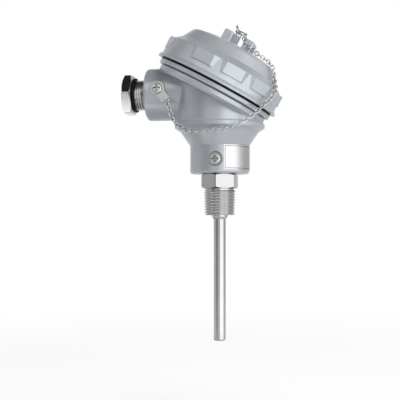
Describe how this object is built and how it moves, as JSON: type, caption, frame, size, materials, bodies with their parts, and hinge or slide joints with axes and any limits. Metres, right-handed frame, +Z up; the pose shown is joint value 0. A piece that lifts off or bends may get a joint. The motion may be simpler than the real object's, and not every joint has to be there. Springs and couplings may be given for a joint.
{
  "type": "rtd probe with head",
  "caption": "Resistance temperature probe: metal sheath, threaded process fitting and a connection head with a chained screw cap and a cable gland.",
  "frame": {"origin": "on the probe axis, at the underside of the fitting's hexagon, where the probe screws into its process connection", "axes": "+Z up the probe axis towards the head, -X out of the cable entry, +X the way the screw cap leans"},
  "size_m": [0.1047, 0.086, 0.2073],
  "materials": {
    "stainless": "turned stainless steel",
    "grey_paint": "semi-gloss grey paint on die-cast aluminium",
    "nickel": "bright nickel plating on brass",
    "zinc_plate": "zinc-plated steel",
    "black_rubber": "matt black rubber",
    "brass": "plain brass",
    "ceramic": "unglazed white ceramic",
    "wire_metal": "bare nickel lead wire",
    "plate_silver": "satin blank aluminium plate"
  },
  "bodies": {
    "head": {"process_fitting": "stainless", "sheath_tube": "stainless", "sensing_element": "ceramic", "tip_powder": "ceramic", "insulator_rod": "ceramic", "lead_wire_1": "wire_metal", "lead_wire_2": "wire_metal", "lead_wire_3": "wire_metal", "terminal_block": "ceramic", "terminal_1": "brass", "terminal_2": "brass", "terminal_3": "brass", "terminal_screws": "zinc_plate", "block_screws": "zinc_plate", "head_casting": "grey_paint", "head_rim": "grey_paint", "head_neck": "grey_paint", "neck_screw_washer": "zinc_plate", "neck_screw": "zinc_plate", "chain_tag_screw": "zinc_plate", "earth_washer": "zinc_plate", "earth_screw": "zinc_plate", "chain_tag": "stainless", "gland_grommet": "black_rubber", "gland_washer": "zinc_plate", "name_plate": "plate_silver"},
    "cap_seal": {"cap_gasket": "black_rubber", "safety_chain": "nickel"},
    "cap": {"screw_cap": "grey_paint", "cap_ring": "stainless", "chain_hook": "stainless"},
    "gland_seal": {"gland_o_ring": "black_rubber"},
    "gland": {"gland_screw": "nickel"}
  },
  "joints": [
    {"name": "cap_lift", "type": "slide", "parent": "head", "child": "cap_seal", "axis": [0.4741, 0, 0.8805], "range_m": [0, 0.012], "deforming": ["safety_chain"]},
    {"name": "cap_turn", "type": "hinge", "parent": "cap_seal", "child": "cap", "pos_m": [-0.0027, 0, 0.0667], "axis": [0.4741, 0, 0.8805], "range_deg": [0, 1440]},
    {"name": "gland_travel", "type": "slide", "parent": "head", "child": "gland_seal", "axis": [-1, 0, 0], "range_m": [-0.003, 0.0075]},
    {"name": "gland_turn", "type": "hinge", "parent": "gland_seal", "child": "gland", "pos_m": [-0.0482, 0, 0.0627], "axis": [-1, 0, 0], "range_deg": [-720, 1800]}
  ],
  "couplings": [
    {"joint": "cap_lift", "follows": "cap_turn", "m_per_rad": 0.00047746},
    {"joint": "gland_travel", "follows": "gland_turn", "m_per_rad": 0.00023873}
  ]
}
